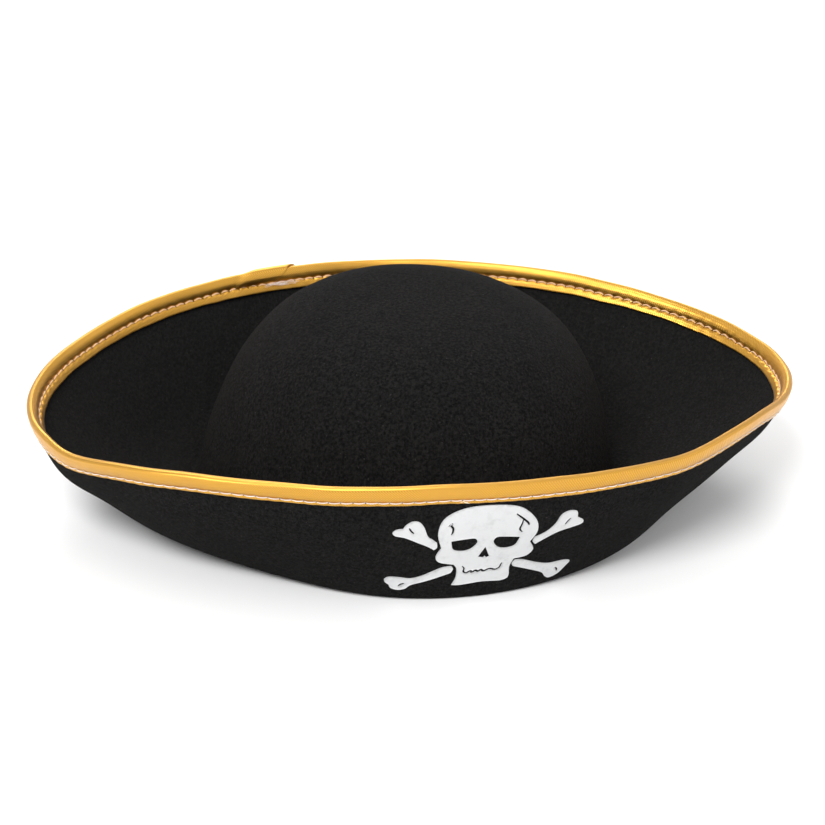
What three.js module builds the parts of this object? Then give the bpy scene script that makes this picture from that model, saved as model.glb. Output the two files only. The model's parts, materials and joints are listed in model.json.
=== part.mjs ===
// Pirate hat. A moulded felt body with a turned-up, pointed-oval brim, a metallic tape folded over the brim's
// edge and sewn on, a skull-and-bones transfer in five pieces on the front, and a sweatband with a care label.
// Millimetres, +Z up. The front of the hat faces -Y. The hat lies on the flat land around its head opening.

import * as THREE from 'three';
import { mergeVertices } from 'three/addons/utils/BufferGeometryUtils.js';
import { TessellateModifier } from 'three/addons/modifiers/TessellateModifier.js';

// ---------------------------------------------------------------- driving dimensions

const feltThickness = 2;
const gap = 0.3; // clearance between pieces that touch on the real hat

// crown, measured on its outside
const crownHalfWidth = 92;
const crownHalfDepth = 95;
const crownHeight = 96;
const crownSquareness = 3.3; // 2 is an ellipse, larger is boxier
const crownTaper = 0.12; // share of its width that the crown loses towards its top
const crownSetback = -2; // centre of the crown, in Y from the middle of the brim

// brim
const rimHalfWidth = 173;
const rimHalfDepth = 116;
const rimPinch = 0.17; // how far the two ends are drawn to a point
const rimHeight = 63.5; // at the front and the back
const leftTipHeight = 50;
const rightTipHeight = 54.5;
const rimShoulder = 2; // extra height halfway between front and tip
const landWidth = 3; // flat ring outside the crown wall
const frontFlare = 0.27; // how far out the brim runs before it turns up
const sideFlare = 0.59;
const creaseReach = 3; // concave crease between crown and brim
const creaseHeight = 7;
const lipChamfer = 0.6; // edge of the head opening

// binding tape
const tapeThickness = 0.5;
const tapeLeg = 8.4;
const spliceAngle = 101; // degrees round from +X, at the back
const spliceOverlap = 14; // mm of tape start lying over tape end
const spliceRamp = 7;

// threads
const threadRadius = 0.3;
const stitchDrop = 6; // stitch line below the brim's edge

// emblem
const emblemThickness = 0.5;
const emblemCentreX = 1.5;
const emblemDrop = 35.8; // centre of the emblem below the brim's edge
const emblemTriangle = 9; // longest triangle side, so that the patches follow the brim

// sweatband and label
const bandThickness = 0.8;
const bandBottom = 3;
const bandHeight = 30;
const bandStitchRise = 3; // stitch line above the band's lower edge
const labelWidth = 34;
const labelLength = 26;
const labelThickness = 0.4;
const labelTopDrop = 3; // label's sewn edge below the band's top edge
const labelThreadRise = 1.2; // its thread above that edge, clear of the label when it is flipped up

// fineness
const ringSteps = 80;
const threadSides = 6;

// ---------------------------------------------------------------- surfaces of the hat

const turn = 2 * Math.PI;
const radians = THREE.MathUtils.degToRad;

// Crown surface at a height, for a skin that lies inset inside the outer one.
function crownPoint(angle, z, inset) {
  const rise = Math.min(z / (crownHeight - inset), 1);
  const shrink = (1 - crownTaper * rise) * (1 - rise ** crownSquareness) ** (1 / crownSquareness);
  return new THREE.Vector3(
    (crownHalfWidth - inset) * shrink * Math.cos(angle),
    crownSetback + (crownHalfDepth - inset) * shrink * Math.sin(angle),
    z,
  );
}

// Edge of the brim: a pointed oval, higher at the front and back than at its tips.
function rimPoint(angle) {
  const c = Math.cos(angle);
  const s = Math.sin(angle);
  const tipHeight = (leftTipHeight + rightTipHeight) / 2 + ((rightTipHeight - leftTipHeight) / 2) * c;
  return new THREE.Vector3(
    rimHalfWidth * c,
    rimHalfDepth * s * (1 - rimPinch * c ** 4),
    tipHeight + (rimHeight - tipHeight) * s * s + 4 * rimShoulder * s * s * c * c,
  );
}

// Foot of the brim, where it leaves the ground.
function footPoint(angle) {
  return new THREE.Vector3(
    (crownHalfWidth + landWidth) * Math.cos(angle),
    crownSetback + (crownHalfDepth + landWidth) * Math.sin(angle),
    0,
  );
}

// Lower face of the brim, from its foot to its edge, as a quadratic curve that starts flat.
function brimCurve(angle) {
  const foot = footPoint(angle);
  const rim = rimPoint(angle);
  const flare = sideFlare + (frontFlare - sideFlare) * Math.sin(angle) ** 2;
  const bend = foot.clone().lerp(rim, flare).setZ(0);
  const curve = new THREE.QuadraticBezierCurve3(foot, bend, rim);
  curve.arcLengthDivisions = 24;
  return curve;
}

function brimSurface(angle, reach) {
  return brimCurve(angle).getPoint(reach);
}

// Unit normal of the lower face, pointing away from the crown.
function brimNormal(angle, reach) {
  const small = 1e-3;
  const round = brimSurface(angle + small, reach).sub(brimSurface(angle - small, reach));
  const outward = brimSurface(angle, reach + small).sub(brimSurface(angle, reach - small));
  return round.cross(outward).normalize();
}

// A point lifted off the lower face of the brim; the upper face is at -feltThickness.
function offBrim(angle, reach, lift) {
  return brimSurface(angle, reach).addScaledVector(brimNormal(angle, reach), lift);
}

// A point near the brim's edge: drop is the distance below the edge, and a negative drop runs past it.
function nearRim(angle, drop, lift) {
  const curve = brimCurve(angle);
  if (drop > 0) return offBrim(angle, curve.getUtoTmapping(0, curve.getLength() - drop), lift);
  return offBrim(angle, 1, lift).addScaledVector(curve.getTangent(1), -drop);
}

// ---------------------------------------------------------------- building solids

function signedVolume(positions, index) {
  const corner = [new THREE.Vector3(), new THREE.Vector3(), new THREE.Vector3()];
  let volume = 0;
  for (let i = 0; i < index.length; i += 3) {
    corner.forEach((v, k) => v.fromArray(positions, 3 * index[i + k]));
    volume += corner[0].dot(corner[1].clone().cross(corner[2])) / 6;
  }
  return volume;
}

// A closed solid from rows of points. Each row is joined to the next. Rows close on themselves unless they
// run from pole to pole, and the last row joins the first unless both are capped by the flat outline.
function loft(rows, { poleToPole = false, capOutline = null } = {}) {
  const count = rows[0].length;
  const positions = rows.flat().flatMap((p) => p.toArray());
  const index = [];
  const same = (a, b) => [0, 1, 2].every((k) => Math.abs(positions[3 * a + k] - positions[3 * b + k]) < 1e-6);
  const face = (a, b, c) => {
    if (!same(a, b) && !same(b, c) && !same(c, a)) index.push(a, b, c);
  };
  const rowPairs = capOutline ? rows.length - 1 : rows.length;
  for (let i = 0; i < rowPairs; i++) {
    const next = (i + 1) % rows.length;
    for (let j = 0; j < (poleToPole ? count - 1 : count); j++) {
      const k = (j + 1) % count;
      face(i * count + j, next * count + j, next * count + k);
      face(i * count + j, next * count + k, i * count + k);
    }
  }
  if (capOutline) {
    const last = (rows.length - 1) * count;
    for (const [a, b, c] of THREE.ShapeUtils.triangulateShape(capOutline, [])) {
      if (THREE.ShapeUtils.isClockWise(capOutline)) {
        face(a, c, b);
        face(last + a, last + b, last + c);
      } else {
        face(a, b, c);
        face(last + a, last + c, last + b);
      }
    }
  }
  if (signedVolume(positions, index) < 0) index.reverse();
  const geometry = new THREE.BufferGeometry();
  geometry.setAttribute('position', new THREE.Float32BufferAttribute(positions, 3));
  geometry.setIndex(index);
  return mergeVertices(geometry, 1e-5);
}

// One row for each angle round the hat.
function rowsRound(sectionAt, steps = ringSteps) {
  return Array.from({ length: steps }, (_, i) => sectionAt((i * turn) / steps));
}

function range(from, to, steps) {
  return Array.from({ length: steps + 1 }, (_, i) => from + ((to - from) * i) / steps);
}

function piece(name, geometry, color, roughness, metalness = 0) {
  geometry.computeVertexNormals();
  const mesh = new THREE.Mesh(geometry, new THREE.MeshStandardMaterial({ color, roughness, metalness }));
  mesh.name = name;
  return mesh;
}

// ---------------------------------------------------------------- felt body

// Heights on the crown, close together where it curves over at the top.
function crownHeights(from, inset, steps) {
  const top = crownHeight - inset;
  const start = Math.asin((from / top) ** (crownSquareness / 2));
  return range(start, Math.PI / 2, steps).map((phase) => top * Math.sin(phase) ** (2 / crownSquareness));
}

// The crown and the brim are pressed from one sheet of felt, so they are one solid.
function feltSection(angle) {
  const inside = crownHeights(lipChamfer, feltThickness, 11).map((z) => crownPoint(angle, z, feltThickness));
  const outside = crownHeights(feltThickness + creaseHeight, 0, 11).map((z) => crownPoint(angle, z, 0));
  const lip = crownPoint(angle, 0, feltThickness - lipChamfer);
  const lower = range(0, 1, 10).map((reach) => brimSurface(angle, reach));

  const flare = sideFlare + (frontFlare - sideFlare) * Math.sin(angle) ** 2;
  const run = rimPoint(angle).sub(footPoint(angle)).setZ(0).length();
  const creaseStart = creaseReach / (2 * flare * run);
  const upper = range(1, creaseStart, 9).map((reach) => offBrim(angle, reach, -feltThickness));
  const valley = crownPoint(angle, feltThickness, 0);
  const crease = new THREE.QuadraticBezierCurve3(upper.at(-1), valley, outside[0]).getPoints(4).slice(1, -1);
  return [...inside.reverse(), lip, ...lower, ...upper, ...crease, ...outside];
}

function feltBody() {
  return piece('felt_body', loft(rowsRound(feltSection), { poleToPole: true }), 0x17171a, 0.96);
}

// ---------------------------------------------------------------- binding tape and its two threads

// How far a layer is lifted to pass over the splice, at a distance in mm past the tape's start.
function spliceLift(past) {
  const layer = tapeThickness + gap;
  const rise = THREE.MathUtils.smoothstep(past, -spliceRamp, 0);
  const fall = 1 - THREE.MathUtils.smoothstep(past, spliceOverlap, spliceOverlap + spliceRamp);
  return layer * rise * fall;
}

// Speed of travel along the brim's edge at the splice, in mm for each radian.
function rimSpeed() {
  const at = radians(spliceAngle);
  return rimPoint(at + 0.01).distanceTo(rimPoint(at - 0.01)) / 0.02;
}

// Distance in mm past the tape's start, for an angle within half a turn of it.
function pastSplice(angle) {
  const away = THREE.MathUtils.euclideanModulo(angle - radians(spliceAngle) + Math.PI, turn) - Math.PI;
  return away * rimSpeed();
}

// The tape's cross-section as pairs of drop and lift: down the outside, over the edge, down the inside.
function tapeOutline(raise) {
  const middle = -feltThickness / 2;
  const innerRadius = feltThickness / 2 + gap + raise;
  const legs = [tapeLeg, tapeLeg / 2];
  const skin = (radius) => {
    const fold = range(0, Math.PI, 5).map((a) => [-radius * Math.sin(a), middle + radius * Math.cos(a)]);
    const outer = legs.map((drop) => [drop, middle + radius]);
    const inner = legs.toReversed().map((drop) => [drop, middle - radius]);
    return [...outer, ...fold, ...inner];
  };
  return [...skin(innerRadius + tapeThickness), ...skin(innerRadius).reverse()];
}

function bindingTape() {
  const start = radians(spliceAngle);
  const overlap = start + spliceOverlap / rimSpeed();
  const level = overlap + spliceRamp / rimSpeed();
  const angles = [
    ...range(start, overlap, 3),
    ...range(overlap, level, 4).slice(1),
    ...range(level, start + turn, ringSteps).slice(1),
    ...range(start + turn, overlap + turn, 3).slice(1),
  ];
  const rows = angles.map((angle) => {
    const travelled = angle - start;
    const raise = travelled > Math.PI ? 0 : spliceLift(travelled * rimSpeed());
    return tapeOutline(raise).map(([drop, lift]) => nearRim(angle, drop, lift));
  });
  const outline = tapeOutline(0).map(([drop, lift]) => new THREE.Vector2(drop, lift));
  return piece('brim_binding_tape', loft(rows, { capOutline: outline }), 0xd9a13b, 0.35, 0.6);
}

// A thread lying along the tape; side is 1 on the outside of the brim and -1 on the inside.
function bindingThread(name, side, color) {
  const middle = -feltThickness / 2;
  const reach = feltThickness / 2 + gap + tapeThickness + gap + threadRadius;
  const section = (angle) => range(0, turn, threadSides).slice(1).map((a) => {
    const lift = middle + side * (reach + spliceLift(pastSplice(angle)) + threadRadius * Math.cos(a));
    return nearRim(angle, stitchDrop + threadRadius * Math.sin(a), lift);
  });
  return piece(name, loft(rowsRound(section, 2 * ringSteps)), color, 0.7);
}

// ---------------------------------------------------------------- emblem

// Emblem outlines lie in a plane: x across the front, y up the brim, 0,0 at the emblem's centre.
const points = (...pairs) => pairs.map(([x, y]) => new THREE.Vector2(x, y));

function skullShape() {
  const skull = new THREE.Shape();
  skull.moveTo(-19, 2.5);
  skull.splineThru(points([-20.6, -2.5], [-18.6, -6], [-12.2, -7.8]));
  skull.splineThru(points([-10.7, -10.4], [-10.4, -15.4], [-11.7, -19.6]));
  skull.splineThru(points([-8, -19.8], [1, -18.9], [9.5, -19.8]));
  skull.splineThru(points([12.8, -18.4], [12.4, -12], [13.6, -7.4]));
  skull.splineThru(points([19, -6.4], [21.3, -2.5], [19, 2.5]));
  skull.splineThru(points(
    [21.2, 9], [19, 16.4], [11.5, 23.3], [0, 25.2], [-11.5, 24.2], [-19.5, 19.2], [-21.4, 11], [-19, 2.5],
  ));
  skull.holes.push(eyeHole(-1), eyeHole(1), noseHole());
  return skull;
}

function eyeHole(side) {
  const centre = -0.6;
  const eye = new THREE.Path();
  eye.moveTo(centre + side * 14, 5.6);
  eye.splineThru(points([8.5, 6.8], [5, 7.2], [3.7, 4.9], [6, 1.8], [9.6, 0.9], [12.8, 2], [14, 5.6])
    .map((p) => p.setX(centre + side * p.x)));
  return eye;
}

function noseHole() {
  return new THREE.Path(points([-0.1, 1.2], [-1.9, -3.6], [0, -4.1], [0.5, -3.4], [1.1, -4.1], [1.9, -3.8]));
}

// A bone's outline: smooth stretches that meet in corners.
function boneShape(start, ...stretches) {
  const bone = new THREE.Shape();
  bone.moveTo(...start);
  for (const stretch of stretches) {
    bone.splineThru(points(...stretch));
  }
  return bone;
}

function upperRightBone() {
  return boneShape(
    [20.6, 5],
    [[25, 7.4], [28.3, 11.5], [30.2, 16.6], [33.6, 18.4], [37, 17.4], [38, 13.8]],
    [[41, 11.5], [40.8, 9.2], [37, 8], [30.8, 6.3], [25.5, 3.2], [21.6, 0.4]],
    [[20.1, 2.6], [20.6, 5]],
  );
}

function lowerRightBone() {
  return boneShape(
    [14.3, -8.3],
    [[18, -9], [24.5, -12.4], [30.5, -14.8], [37.5, -15.2], [41, -17], [39.5, -20.2]],
    [[36.8, -24.4], [33, -25.8], [30.4, -23.6], [28, -20], [21, -15.8], [13.9, -12.2]],
    [[13.2, -10.2], [14.3, -8.3]],
  );
}

function upperLeftBone() {
  return boneShape(
    [-21.2, 5.8],
    [[-23.2, 7.6], [-25.4, 9.6], [-27.6, 15], [-29.8, 17.8], [-32.4, 18.2], [-34.8, 16.4], [-35.8, 14.2]],
    [[-38, 13.9], [-39.7, 12.2], [-38.6, 10.2], [-34.5, 9], [-29, 6], [-25, 3.8], [-21.9, 1.6]],
    [[-20.8, 3], [-21.2, 5.8]],
  );
}

function lowerLeftBone() {
  return boneShape(
    [-13.8, -8.6],
    [[-17, -9.2], [-21, -11.4], [-25.5, -14.2], [-29.5, -15.6], [-34, -15.2], [-38.2, -15.4], [-39.8, -17.2]],
    [[-39.2, -19], [-37.6, -20.4]],
    [[-36.4, -22.6], [-33.6, -23.4], [-30.6, -22.2], [-28.4, -19.6], [-22, -16.6], [-13.6, -12.6]],
    [[-12.9, -10.4], [-13.8, -8.6]],
  );
}

// Where a point of the emblem's plane lies on the brim, found by stepping the angle until x agrees.
function onFront(x, y, lift) {
  const drop = emblemDrop - y;
  let angle = -Math.PI / 2;
  for (let i = 0; i < 12; i++) {
    const here = nearRim(angle, drop, lift);
    angle += (emblemCentreX + x - here.x) / rimHalfWidth;
  }
  return nearRim(angle, drop, lift);
}

function patch(name, shape) {
  const curveSegments = 3;
  const flat = new THREE.ExtrudeGeometry(shape, {
    depth: emblemThickness, bevelEnabled: false, steps: 1, curveSegments,
  });
  const fine = new TessellateModifier(emblemTriangle, 12).modify(flat);
  fine.deleteAttribute('normal');
  fine.deleteAttribute('uv');
  const laid = mergeVertices(fine, 1e-4);
  const position = laid.attributes.position;
  for (let i = 0; i < position.count; i++) {
    const there = onFront(position.getX(i), position.getY(i), gap + position.getZ(i));
    position.setXYZ(i, there.x, there.y, there.z);
  }
  return piece(name, laid, 0xf1f2f4, 0.45);
}

function emblem() {
  return [
    patch('skull_patch', skullShape()),
    patch('bone_patch_upper_right', upperRightBone()),
    patch('bone_patch_upper_left', upperLeftBone()),
    patch('bone_patch_lower_right', lowerRightBone()),
    patch('bone_patch_lower_left', lowerLeftBone()),
  ];
}

// ---------------------------------------------------------------- sweatband and care label

const bandOuterInset = feltThickness + gap;
const bandInnerInset = bandOuterInset + bandThickness;
const bandTop = bandBottom + bandHeight;
const hingeHeight = bandTop - labelTopDrop;

function sweatband() {
  const heights = range(bandBottom, bandTop, 3);
  const section = (angle) => [
    ...heights.map((z) => crownPoint(angle, z, bandOuterInset)),
    ...heights.toReversed().map((z) => crownPoint(angle, z, bandInnerInset)),
  ];
  return piece('sweatband', loft(rowsRound(section)), 0x232326, 0.9);
}

function sweatbandThread() {
  const height = bandBottom + bandStitchRise;
  const inset = bandInnerInset + gap + threadRadius;
  const section = (angle) => range(0, turn, threadSides).slice(1).map((a) => (
    crownPoint(angle, height + threadRadius * Math.sin(a), inset + threadRadius * Math.cos(a))
  ));
  return piece('sweatband_stitching', loft(rowsRound(section)), 0x111113, 0.8);
}

// The label hangs flat across the inside of the band, as close to it as its two side edges allow.
function labelPlaneY() {
  const edge = Math.acos((labelWidth / 2) / (crownHalfWidth - bandInnerInset));
  return crownPoint(edge, hingeHeight, bandInnerInset).y - gap - labelThickness / 2;
}

function careLabel() {
  const label = piece(
    'care_label', new THREE.BoxGeometry(labelWidth, labelThickness, labelLength), 0xe9e9e6, 0.75,
  );
  label.position.set(0, labelPlaneY(), hingeHeight - labelLength / 2);
  return label;
}

// The thread that the label hangs from runs above its top edge.
function labelThread() {
  const margin = 2;
  const thread = piece(
    'label_stitching',
    new THREE.CylinderGeometry(threadRadius, threadRadius, labelWidth - 2 * margin, 8),
    0xd8d8d4, 0.7,
  );
  thread.rotation.z = Math.PI / 2;
  thread.position.set(0, labelPlaneY(), hingeHeight + labelThreadRise);
  return thread;
}

// ---------------------------------------------------------------- the hat

const hat = new THREE.Group();
hat.name = 'pirate_hat';
hat.add(
  feltBody(),
  bindingTape(),
  bindingThread('binding_needle_thread', 1, 0xe6dccb),
  bindingThread('binding_bobbin_thread', -1, 0xe0cfae),
  ...emblem(),
  sweatband(),
  sweatbandThread(),
  careLabel(),
  labelThread(),
);

export default hat;
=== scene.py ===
"""Pirate hat of black felt: a bound, turned-up brim, a white skull and bones, a sweatband and a care label.

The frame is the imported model's: +X from tip to tip, the emblem faces -Y, +Z up, and z = 0 is the table.
Shapes are worked out in millimetres, and every mesh is scaled to metres when it is made.
"""

import json
import math

import bpy
import numpy as np
from mathutils import Matrix, Vector
from mathutils.geometry import delaunay_2d_cdt


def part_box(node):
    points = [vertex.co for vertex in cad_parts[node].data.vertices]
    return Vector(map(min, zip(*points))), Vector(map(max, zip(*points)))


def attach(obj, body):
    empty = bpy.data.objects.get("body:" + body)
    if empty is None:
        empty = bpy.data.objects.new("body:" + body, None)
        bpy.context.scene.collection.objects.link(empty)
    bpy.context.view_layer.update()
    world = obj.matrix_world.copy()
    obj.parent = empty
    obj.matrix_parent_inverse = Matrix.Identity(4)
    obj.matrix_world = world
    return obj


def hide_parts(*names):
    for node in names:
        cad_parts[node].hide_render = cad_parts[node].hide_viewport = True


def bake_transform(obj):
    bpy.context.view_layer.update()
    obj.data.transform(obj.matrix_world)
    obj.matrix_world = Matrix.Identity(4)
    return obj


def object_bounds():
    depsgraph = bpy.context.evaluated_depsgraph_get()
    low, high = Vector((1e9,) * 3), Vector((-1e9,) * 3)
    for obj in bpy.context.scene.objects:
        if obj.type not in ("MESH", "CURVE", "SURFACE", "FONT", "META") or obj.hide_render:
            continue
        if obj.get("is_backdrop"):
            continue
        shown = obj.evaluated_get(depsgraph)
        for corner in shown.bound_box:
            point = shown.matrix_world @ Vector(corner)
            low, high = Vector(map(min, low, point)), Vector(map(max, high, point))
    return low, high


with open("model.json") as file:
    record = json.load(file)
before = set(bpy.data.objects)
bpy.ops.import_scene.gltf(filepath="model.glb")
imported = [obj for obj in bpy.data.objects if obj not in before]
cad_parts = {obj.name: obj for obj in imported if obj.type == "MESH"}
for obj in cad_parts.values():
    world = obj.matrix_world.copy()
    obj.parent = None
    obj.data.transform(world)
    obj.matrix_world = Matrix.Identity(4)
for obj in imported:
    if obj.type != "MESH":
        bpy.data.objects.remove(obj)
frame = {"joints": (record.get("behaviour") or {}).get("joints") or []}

CAD_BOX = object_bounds()
MM = 0.001
TURN = 2 * math.pi

# ------------ driving dimensions, in millimetres

_, FELT_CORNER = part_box("felt_body")
RIM_HALF_WIDTH = FELT_CORNER.x / MM
RIM_HALF_DEPTH = FELT_CORNER.y / MM
CROWN_HEIGHT = FELT_CORNER.z / MM

FELT = 2.0
CROWN_HALF_WIDTH = 92.0
CROWN_HALF_DEPTH = 95.0
CROWN_SQUARENESS = 3.3  # exponent of the profile; 2 is an ellipse
CROWN_TAPER = 0.12
CROWN_SETBACK = -2.0  # Y of the crown's centre

RIM_PINCH = 0.17  # how much the plan narrows towards the tips
RIM_HEIGHT = 63.5  # at the front and the back
LEFT_TIP_HEIGHT = 50.0
RIGHT_TIP_HEIGHT = 54.5
RIM_SHOULDER = 2.0  # extra height between a tip and the front or the back
LAND = 3.0  # flat ring outside the crown wall
FRONT_FLARE = 0.27  # how far out the brim's bend lies, from its foot at 0 to its edge at 1
SIDE_FLARE = 0.59
CREASE_REACH = 3.0  # the soft corner between brim and crown: how far out it starts
CREASE_HEIGHT = 7.0  # and how far up the crown it ends
LIP = 0.6  # rounding of the head opening's edge

TAPE = 0.35
TAPE_GAP = 0.12  # air between the tape and the felt
OUTER_LEG = 7.3
INNER_LEG = 9.4
SPLICE_ANGLE = math.radians(101)
SPLICE_RAISED = 17.0  # length of the tape's first end that is raised by its last end
SPLICE_RAMP = 9.0
SPLICE_STEP = 1.1
SPLICE_UNDER = 22.0  # how far the tape's last end runs under its first
SPLICE_SLANT = 1.4  # how much further along the cut lies for each mm across the tape
SPLICE_STRAIGHT = (12.0, 60.0)  # where the slant starts to fade, and where it has gone
STITCH_DROP = 5.9
STITCH_PITCH = 5.0
SCALLOP = 0.6  # rise of the inner leg's lower band between its stitches
WEAVE_PITCH = 0.8  # between the strips of the tape's weave

PLY_RADIUS = 0.13
THREAD_TAIL_ANGLE = math.radians(266)
EMBLEM_CENTRE_X = 2.0
EMBLEM_DROP = 35.9  # of the emblem's centre below the brim's edge
EMBLEM_TALL = 1.055  # the emblem is stretched down the brim a little
FILM = 0.22
FILM_GAP = 0.03  # air between the film and the felt
FILM_EDGE = 0.07  # how much thinner the film is at its border

BAND_BOTTOM = 3.0
BAND_HEIGHT = 30.0
BAND_GAP = 0.15
BAND = 0.5
BAND_SEAM = math.radians(64)
BAND_LAP = 0.13  # radians of overlap at the band's seam
BAND_EASE = 0.25  # least air between the band and the crown, over BAND_GAP
RIB_PITCH = 0.95
RIB_HEIGHT = 0.13
BAND_STITCH_HEIGHT = 6.0
BAND_STITCH_PITCH = 4.2

LABEL_WIDTH = 34.0
LABEL_LENGTH = 26.0
LABEL_TAB = 2.6  # sewn down above the fold
LABEL = 0.22
LABEL_CLEAR = 0.9  # between the band's plain surface and the label, for ribs and waves
LABEL_HINGE = frame["joints"][0]["pos_m"]
LABEL_FOLD = LABEL_HINGE[2] / MM

FELT_STEPS = 520  # columns round the hat
TAPE_STEP = 0.66  # between the tape's columns
FOLD_STEPS = 8  # rows round the tape's fold


# ------------ small tools

def point(x, y, z):
    """Points in space from arrays that broadcast together."""
    return np.stack(np.broadcast_arrays(x, y, z), axis=-1).astype(float)


def unit(v):
    return v / np.maximum(np.linalg.norm(v, axis=-1, keepdims=True), 1e-12)


def smooth(x, low, high):
    """0 below low, 1 above high, and an even rise between them."""
    t = np.clip((x - low) / (high - low), 0, 1)
    return t * t * (3 - 2 * t)


def hump(x, centre, width):
    """1 at the centre, falling off smoothly to both sides."""
    return np.exp(-(((x - centre) / width) ** 2))


def waves(p, wavelength, seed, count=10):
    """Smooth random waves through space, mostly between -1 and 1."""
    draw = np.random.default_rng(seed)
    total = np.zeros(p.shape[:-1])
    for _ in range(count):
        direction = unit(draw.normal(size=3)) * draw.uniform(0.6, 1.5) * TURN / wavelength
        total += np.sin(p @ direction + draw.uniform(0, TURN))
    return total / math.sqrt(count)


# ------------ surfaces of the hat

def crown_shrink(rise):
    """Width of the crown at a share of its height, as a share of its width at the foot."""
    return (1 - CROWN_TAPER * rise) * (1 - rise**CROWN_SQUARENESS) ** (1 / CROWN_SQUARENESS)


def crown(angle, z, inset=0.0):
    """Outer skin of the crown, or a skin inset in it."""
    shrink = crown_shrink(np.clip(z / (CROWN_HEIGHT - inset), 0, 1))
    x = (CROWN_HALF_WIDTH - inset) * shrink * np.cos(angle)
    y = CROWN_SETBACK + (CROWN_HALF_DEPTH - inset) * shrink * np.sin(angle)
    return point(x, y, z)


def crown_heights(low, inset, steps):
    """Heights from low to just under the crown's top, evenly spaced along the profile."""
    top = CROWN_HEIGHT - inset
    rise = low / top
    start = math.atan2(rise, (1 - rise**CROWN_SQUARENESS) ** (1 / CROWN_SQUARENESS))
    phase = np.linspace(start, math.pi / 2, steps + 1)[:-1]
    powers = np.cos(phase) ** CROWN_SQUARENESS + np.sin(phase) ** CROWN_SQUARENESS
    return top * np.sin(phase) / powers ** (1 / CROWN_SQUARENESS)


def rim(angle):
    """Edge of the brim."""
    c, s = np.cos(angle), np.sin(angle)
    tip = (LEFT_TIP_HEIGHT + RIGHT_TIP_HEIGHT) / 2 + (RIGHT_TIP_HEIGHT - LEFT_TIP_HEIGHT) / 2 * c
    height = tip + (RIM_HEIGHT - tip) * s**2 + 4 * RIM_SHOULDER * s**2 * c**2
    return point(RIM_HALF_WIDTH * c, RIM_HALF_DEPTH * s * (1 - RIM_PINCH * c**4), height)


def foot(angle):
    """Where the brim leaves the table."""
    x = (CROWN_HALF_WIDTH + LAND) * np.cos(angle)
    y = CROWN_SETBACK + (CROWN_HALF_DEPTH + LAND) * np.sin(angle)
    return point(x, y, np.zeros_like(x))


def flare(angle):
    """How far out the brim bends up, more at the sides than at the front and back."""
    return SIDE_FLARE + (FRONT_FLARE - SIDE_FLARE) * np.sin(angle) ** 2


def brim_bend(angle):
    """The point on the table that the brim's curve leans towards."""
    start, end = foot(angle), rim(angle)
    bend = start + (end - start) * flare(angle)[..., None]
    bend[..., 2] = 0
    return bend


def brim(angle, reach):
    """Lower face of the brim, from its foot at reach 0 to its edge at reach 1."""
    angle, reach = np.broadcast_arrays(angle, reach)
    r = reach[..., None]
    return (1 - r) ** 2 * foot(angle) + 2 * r * (1 - r) * brim_bend(angle) + r**2 * rim(angle)


def off_brim(angle, reach, lift):
    """A point lifted outwards off the lower face; the upper face is at -FELT."""
    small = 1e-3
    around = brim(angle + small, reach) - brim(angle - small, reach)
    outward = brim(angle, reach + small) - brim(angle, reach - small)
    return brim(angle, reach) + unit(np.cross(around, outward)) * np.asarray(lift)[..., None]


def reach_below(angle, drop):
    """The reach at a distance below the brim's edge, measured along the brim."""
    steps = np.linspace(0, 1, 41)
    gaps = np.linalg.norm(np.diff(brim(angle[..., None], steps), axis=-2), axis=-1)
    below = np.concatenate([np.cumsum(gaps[..., ::-1], axis=-1)[..., ::-1], 0 * gaps[..., :1]], axis=-1)
    k = np.clip((below > drop[..., None]).sum(-1), 1, len(steps) - 1)
    before = np.take_along_axis(below, k[..., None] - 1, -1)[..., 0]
    after = np.take_along_axis(below, k[..., None], -1)[..., 0]
    return steps[k - 1] + (before - drop) / (before - after) * (steps[1] - steps[0])


def near_rim(angle, drop, lift):
    """A point near the brim's edge. A negative drop runs past the edge."""
    angle, drop, lift = np.broadcast_arrays(angle, drop, lift)
    at = off_brim(angle, reach_below(angle, np.maximum(drop, 0)), lift)
    return at + unit(rim(angle) - brim_bend(angle)) * np.maximum(-drop, 0)[..., None]


# Unevenness that the felt took on in use: where, how far round it reaches, and how far it moves.
DENTS = [
    ((-168, -30, 50), (34, 40, 40), (3.2, -1.0, -1.5)),
    ((-120, -80, 50), (34, 30, 32), (0, -0.5, -1.0)),
    ((-50, -110, 58), (48, 24, 28), (0, -0.5, -2.0)),
    ((50, -110, 58), (48, 24, 28), (1.0, -1.5, -2.0)),
    ((88, -92, 52), (30, 26, 30), (0, -1.5, -2.5)),
    ((125, -72, 50), (20, 24, 30), (0, -0.5, -0.5)),
    ((160, -32, 50), (32, 34, 40), (1.5, -1.5, -0.5)),
    ((-140, -55, 28), (30, 30, 26), (-0.5, -1.0, 0)),
    ((-158, -14, 34), (20, 26, 14), (-3.0, -1.0, -2.5)),
    ((-80, -80, 10), (40, 30, 24), (0, 3.5, 1.0)),
    ((10, -100, 6), (60, 28, 24), (0.5, 3.5, 0.5)),
    ((104, -70, 18), (22, 22, 24), (-1.0, 2.5, 1.0)),
    ((132, -42, 24), (30, 30, 24), (1.0, 1.5, 1.0)),
    ((150, -34, 36), (18, 22, 14), (1.5, -1.5, -1.0)),
    ((152, -38, 56), (18, 24, 24), (0, 0, -1.8)),
    ((-140, -52, 54), (34, 26, 26), (0, 0, -1.6)),
    ((-172, 12, 56), (16, 34, 12), (1.2, 0, -0.5)),
    ((-160, -34, 54), (16, 20, 20), (-0.5, 0, -2.0)),
    ((-110, 78, 50), (56, 40, 40), (0, -0.5, -1.5)),
    ((125, 75, 54), (50, 40, 40), (0, 0, -1.0)),
    ((-90, 20, 8), (36, 60, 48), (-5.0, 0, 0)),
    ((92, 0, 50), (30, 70, 40), (-1.0, 0, -1.0)),
]


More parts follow.
